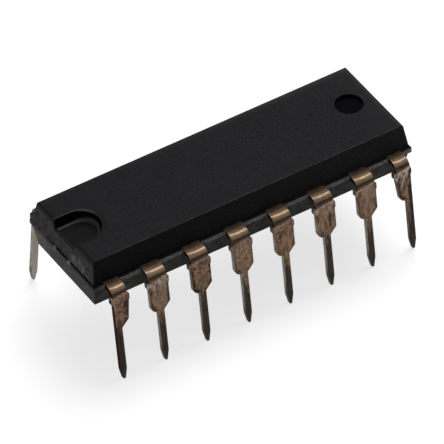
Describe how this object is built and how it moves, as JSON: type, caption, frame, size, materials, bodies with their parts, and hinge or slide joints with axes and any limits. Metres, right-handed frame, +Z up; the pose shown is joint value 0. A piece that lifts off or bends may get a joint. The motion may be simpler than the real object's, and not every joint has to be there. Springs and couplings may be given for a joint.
{
  "type": "dip integrated circuit chip",
  "caption": "Long black moulded block with a notch in one end and a row of formed metal leads down each side, each tapering to a slim pin.",
  "frame": {"origin": "middle of the four outer lead tips, on the plane that the lead tips stand on", "axes": "+X along the package away from the notched end with pin 1, -Y towards pins 1 to 8, +Z up out of the top face"},
  "size_m": [0.0194, 0.0092, 0.007],
  "materials": {
    "epoxy": "matt moulded epoxy",
    "lead_metal": "tin-dulled copper alloy, satin",
    "frame_metal": "bare copper alloy with a silver-plated pad",
    "die_adhesive": "silver-filled epoxy",
    "silicon": "polished silicon",
    "gold_wire": "bright gold"
  },
  "bodies": {
    "root": {"moulded_body": "epoxy", "lead_01": "lead_metal", "lead_02": "lead_metal", "lead_03": "lead_metal", "lead_04": "lead_metal", "lead_05": "lead_metal", "lead_06": "lead_metal", "lead_07": "lead_metal", "lead_08": "lead_metal", "lead_09": "lead_metal", "lead_10": "lead_metal", "lead_11": "lead_metal", "lead_12": "lead_metal", "lead_13": "lead_metal", "lead_14": "lead_metal", "lead_15": "lead_metal", "lead_16": "lead_metal", "die_paddle": "frame_metal", "die_attach": "die_adhesive", "silicon_die": "silicon", "bond_wire_01": "gold_wire", "bond_wire_02": "gold_wire", "bond_wire_03": "gold_wire", "bond_wire_04": "gold_wire", "bond_wire_05": "gold_wire", "bond_wire_06": "gold_wire", "bond_wire_07": "gold_wire", "bond_wire_08": "gold_wire", "bond_wire_09": "gold_wire", "bond_wire_10": "gold_wire", "bond_wire_11": "gold_wire", "bond_wire_12": "gold_wire", "bond_wire_13": "gold_wire", "bond_wire_14": "gold_wire", "bond_wire_15": "gold_wire", "bond_wire_16": "gold_wire"}
  },
  "joints": []
}
